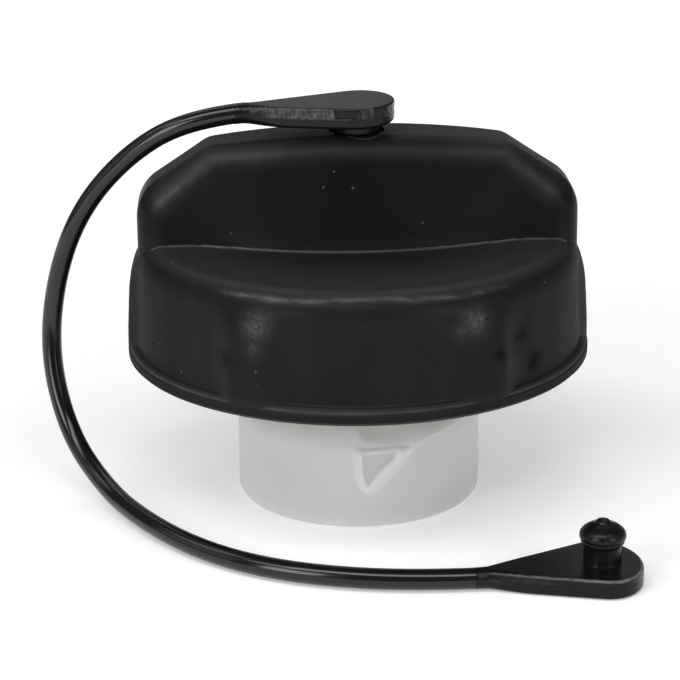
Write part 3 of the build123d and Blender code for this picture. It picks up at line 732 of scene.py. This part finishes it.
    # real dark nicks, and painted shade in the lip's crease
    col = k.mix(k.math("MULTIPLY", k.math("ADD", nick, lip_crease_shade, clamp=True), 0.9), col, (0.001, 0.001, 0.001))
    k.color(col)
    r = k.math("MULTIPLY_ADD", scuff, 0.12, r)
    r = k.math("MULTIPLY_ADD", flank, 0.22, r)
    r = k.math("MULTIPLY_ADD", dull, 0.30, r)
    k.rough(k.math("MULTIPLY_ADD", nick, 0.4, r, clamp=True))
    return k


def tether_gloss(name, rough, spec, wear_and_highlight=False, base=(0.0052, 0.0052, 0.0055)):
    k = Mat(name, (0.008, 0.008, 0.0085), rough, spec=spec)
    k.bump(k.noise(150, 3.0, 0.5), 0.25, 0.00010)
    k.bump(k.noise(1800, 2.0, 0.6), 0.15, 0.00002)
    r = k.math("MULTIPLY_ADD", k.noise(120, 3.0, 0.6), 0.10, rough - 0.05)
    k.rough(r)
    dust_and_top_light = k.ramp(k.noise(900, 3.0, 0.7), [(0.66, 0.0), (0.76, 1.0)])
    col = k.mix(k.math("MULTIPLY", dust_and_top_light, 0.3), base, (0.05, 0.05, 0.05))
    if wear_and_highlight:
        # paler where the moulding was trimmed, with fine drawn streaks; also painted highlight along the door end's
        # upper edge and painted sheen on the cap end's shaved band
        a = k.node("ShaderNodeAttribute", attribute_name="wear_and_highlight", attribute_type="GEOMETRY").outputs["Fac"]
        streak = k.noise(900, 3.0, 0.6, k.mapped((0.35, 1.0, 3.0)))
        w = k.math("MULTIPLY", a, k.math("MULTIPLY_ADD", streak, 1.6, 0.10, clamp=True), clamp=True)
        col = k.mix(w, col, (0.26, 0.26, 0.26))
    k.color(col)
    return k


def pale_plastic(name, base, dark, rough=0.38, toned=False):
    k = Mat(name, base, rough, spec=0.5)
    k.bump(k.noise(90, 3.0, 0.5), 0.18, 0.00010)
    k.bump(k.noise(2200, 2.0, 0.6), 0.12, 0.00002)
    k.rough(k.math("MULTIPLY_ADD", k.noise(160, 3.0, 0.6), 0.14, rough - 0.07))
    col = k.mix(k.ramp(k.noise(34, 4.0, 0.6), [(0.3, 0.0), (0.75, 1.0)]), base, dark)
    mark = k.ramp(k.noise(520, 3.0, 0.7), [(0.70, 0.0), (0.80, 1.0)])
    col = k.mix(k.math("MULTIPLY", mark, 0.25), col, tuple(0.6 * c for c in dark))
    if toned:
        # painted highlight on the cam lug's thin ribs, painted shade on its sunk flat
        a = k.node("ShaderNodeAttribute", attribute_name="lug_light", attribute_type="GEOMETRY").outputs["Fac"]
        col = k.mix(k.ramp(a, [(0.5, 0.0), (1.0, 1.0)]), col, (0.715, 0.715, 0.71))
        col = k.mix(k.ramp(a, [(0.2, 0.6), (0.5, 0.0)]), col, tuple(0.80 * c for c in dark))
        # painted shade on the wall up under the shell's rim, broken by a mottle
        xyz = k.node("ShaderNodeSeparateXYZ")
        k.link(k.pos, xyz.inputs[0])
        rim_shade = k.math("MULTIPLY", k.math("MULTIPLY_ADD", xyz.outputs[2], 200.0, -2.9, clamp=True), k.math("MULTIPLY_ADD", xyz.outputs[2], -200.0, 5.8, clamp=True))
        rim_shade = k.math("MULTIPLY", rim_shade, k.math("MULTIPLY_ADD", k.noise(120, 3.0, 0.6), 0.6, 0.7), clamp=True)
        col = k.mix(rim_shade, col, (0.470, 0.458, 0.438))
        k.b.inputs["Subsurface Weight"].default_value = 0.35
        k.b.inputs["Subsurface Radius"].default_value = (1.0, 0.95, 0.9)
        k.b.inputs["Subsurface Scale"].default_value = 0.0016
    k.color(col)
    return k


def rubber():
    k = Mat("seal_rubber", (0.018, 0.018, 0.018), 0.62, spec=0.4)
    k.bump(k.noise(900, 3.0, 0.6), 0.3, 0.00004)
    k.rough(k.math("MULTIPLY_ADD", k.noise(200, 3.0), 0.2, 0.52))
    k.color(k.mix(k.noise(260, 3.0), (0.014, 0.014, 0.014), (0.028, 0.027, 0.026)))
    return k


def wire_steel():
    k = Mat("spring_steel", (0.56, 0.56, 0.57), 0.28, spec=0.5, metal=1.0)
    k.bump(k.noise(2000, 2.0, 0.6, k.mapped((1, 1, 0.15))), 0.2, 0.00002)
    k.rough(k.math("MULTIPLY_ADD", k.noise(500, 3.0), 0.2, 0.2))
    k.color(k.mix(k.noise(300, 3.0), (0.60, 0.60, 0.61), (0.44, 0.44, 0.45)))
    return k


shell_mat = black_shell()
strap_mat = tether_gloss("tether_black", 0.15, 0.46)
# the bead at the bar's root is the shell's plastic painted paler: a painted highlight along the crease
root_highlight_mat = tether_gloss("shell_root_highlight", 0.33, 0.30, False, (0.030, 0.030, 0.0302))
end_mat = tether_gloss("tether_end_black", 0.26, 0.20, True)
plug_mat = pale_plastic("plug_grey", (0.648, 0.651, 0.645), (0.600, 0.603, 0.599), 0.38, True)
cover_mat = pale_plastic("cover_grey", (0.665, 0.668, 0.662), (0.615, 0.618, 0.614))
valve_mat = pale_plastic("valve_white", (0.66, 0.66, 0.63), (0.60, 0.60, 0.57))
hub_mat = pale_plastic("hub_natural", (0.70, 0.68, 0.60), (0.62, 0.60, 0.52))
seal_mat = rubber()
steel_mat = wire_steel()

for name, mat in {
    "outer_shell": shell_mat, "ratchet_hub": hub_mat, "closure_body": plug_mat, "neck_gasket": seal_mat,
    "bottom_cover": cover_mat, "valve_housing": valve_mat, "housing_o_ring": seal_mat, "pressure_plate": valve_mat,
    "valve_gasket": seal_mat, "pressure_spring": steel_mat, "spring_retainer": valve_mat, "vacuum_poppet": valve_mat,
    "vacuum_spring": steel_mat, "vacuum_spring_cap": valve_mat, "tether_cap_end": end_mat, "tether_door_end": end_mat,
}.items():
    assign(NODES[name], mat)

for ob, node, body, slot, mat in (
        (plug, "closure_body", "closure", "plug_plastic", plug_mat),
        (bead, None, "grip", "shell_plastic", root_highlight_mat),
        (cap_end, "tether_cap_end", "tether", "tether_end_plastic", end_mat),
        (door_end, "tether_door_end", "tether", "tether_end_plastic", end_mat)):
    ob.data.materials.append(mat.m)
    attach(ob, body)
    if node:
        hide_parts(node)
strap.data.materials.append(strap_mat.m)
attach(strap, "tether")
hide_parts("tether_strap")


# ------------------------------------------------------------------ floor and light
def make_floor():
    me = bpy.data.meshes.new("floor")
    bm = bmesh.new()
    s = 4.0
    vs = [bm.verts.new(p) for p in ((-s, -s, -0.0002), (s, -s, -0.0002), (s, s, -0.0002), (-s, s, -0.0002))]
    bm.faces.new(vs)
    bm.to_mesh(me)
    bm.free()
    ob = bpy.data.objects.new("floor", me)
    scene.collection.objects.link(ob)
    k = Mat("floor_white", (0.92, 0.92, 0.92), 0.8, spec=0.15)
    k.color(k.mix(k.noise(8, 2.0), (0.915, 0.915, 0.915), (0.925, 0.925, 0.925)))
    length = k.node("ShaderNodeVectorMath", operation="LENGTH")
    k.link(k.pos, length.inputs[0])
    k.b.inputs["Emission Color"].default_value = (1, 1, 1, 1)
    k.link(k.math("ADD", 0.30, k.math("MULTIPLY", 0.30, k.math("MULTIPLY_ADD", length.outputs["Value"], 3.2, -0.25, clamp=True))),
           k.b.inputs["Emission Strength"])
    me.materials.append(k.m)


def light(name, loc, size, power, target=(0, 0, 0.035)):
    d = bpy.data.lights.new(name, "AREA")
    d.shape = "RECTANGLE"
    d.size, d.size_y = size
    d.energy = power
    ob = bpy.data.objects.new(name, d)
    v = Vector(target) - Vector(loc)
    ob.rotation_mode = "QUATERNION"
    ob.rotation_quaternion = v.to_track_quat("-Z", "Y")
    ob.location = loc
    scene.collection.objects.link(ob)
    return ob


LIGHTS = [
    ("top_front", (-0.14, -0.43, 0.8), (0.72, 0.30), 3.1),
    ("top_front_left", (-0.55, -0.3, 0.75), (0.30, 0.25), 0.7),
    ("top_front_right", (0.4, -0.3, 0.75), (0.25, 0.25), 0.5),
    ("top_left", (-0.6, 0.1, 0.65), (0.3, 0.3), 0.4),
    ("top_back", (0.0, 0.55, 0.75), (0.8, 0.4), 0.9),
    ("back", (0.0, 1.3, 0.47), (1.2, 0.4), 0.42),
    ("left", (-0.9, -0.1, 0.35), (0.5, 0.5), 0.45),
    ("right", (0.9, -0.1, 0.35), (0.5, 0.5), 0.25),
    ("front_left", (-0.65, -0.7, 0.35), (0.4, 0.5), 3.3),
    ("front_right", (0.65, -0.7, 0.35), (0.4, 0.5), 2.4),
]
make_floor()
for n, loc, size, power in LIGHTS:
    light(n, loc, size, power)

world = bpy.data.worlds.new("world") if scene.world is None else scene.world
scene.world = world
world.use_nodes = True
bg = world.node_tree.nodes["Background"]
bg.inputs["Color"].default_value = (1, 1, 1, 1)
bg.inputs["Strength"].default_value = 0.13
scene.view_settings.view_transform = "Standard"
scene.view_settings.look = "None"
scene.view_settings.exposure = 0.0
